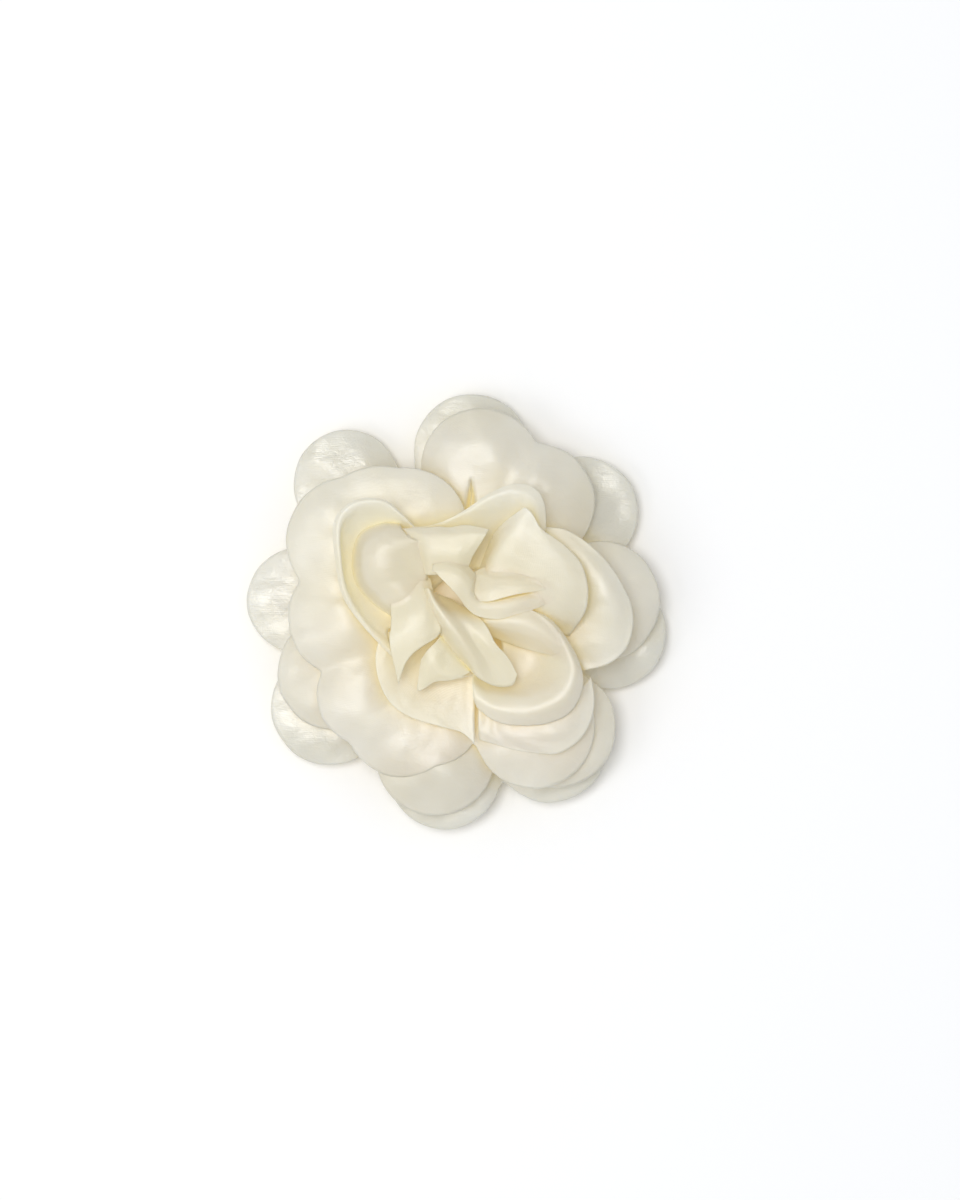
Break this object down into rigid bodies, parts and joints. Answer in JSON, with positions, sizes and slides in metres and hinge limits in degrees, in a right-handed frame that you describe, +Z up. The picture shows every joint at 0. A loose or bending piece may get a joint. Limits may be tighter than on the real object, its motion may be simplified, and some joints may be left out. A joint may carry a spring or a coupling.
{
  "type": "flower hair clip",
  "caption": "Large satin flower hair clip: layered fabric petals stitched through a felt disc and glued to a sprung metal alligator clip.",
  "frame": {"origin": "on the surface the clip lies on, under the middle of the flower", "axes": "+Z up out of the flower's face, +X along the clip towards its nose, Y along the hinge pin"},
  "size_m": [0.1098, 0.1138, 0.0329],
  "materials": {
    "outer_satin": "satin weave with a silvery sheen, heat-sealed edges",
    "petal_satin": "fine ivory satin, heat-sealed edges",
    "thread": "twisted polyester thread",
    "felt": "pressed felt",
    "glue": "set hot-melt glue, semi-gloss",
    "clip_steel": "nickel-plated stamped steel",
    "spring_steel": "drawn spring wire"
  },
  "bodies": {
    "flower": {"petal_ring_1": "outer_satin", "petal_ring_2": "petal_satin", "petal_ring_3": "petal_satin", "curled_petal_1": "petal_satin", "curled_petal_2": "petal_satin", "curled_petal_3": "petal_satin", "curled_petal_4": "petal_satin", "curled_petal_5": "petal_satin", "centre_petal_1": "petal_satin", "centre_petal_2": "petal_satin", "centre_petal_3": "petal_satin", "centre_petal_4": "petal_satin", "centre_petal_5": "petal_satin", "centre_petal_6": "petal_satin", "centre_petal_7": "petal_satin", "centre_petal_8": "petal_satin", "centre_thread": "thread", "felt_backing": "felt", "glue_pad": "glue", "clip_top_plate": "clip_steel", "hinge_pin": "clip_steel", "torsion_spring": "spring_steel"},
    "jaw": {"clip_lower_jaw": "clip_steel"}
  },
  "joints": [
    {"name": "jaw_hinge", "type": "hinge", "parent": "flower", "child": "jaw", "pos_m": [-0.009, 0, 0.0054], "axis": [0, 1, 0], "range_deg": [0, 22], "stiffness_Nm_per_rad": 0.12, "springref_deg": -20.05, "deforming": ["torsion_spring"]}
  ]
}
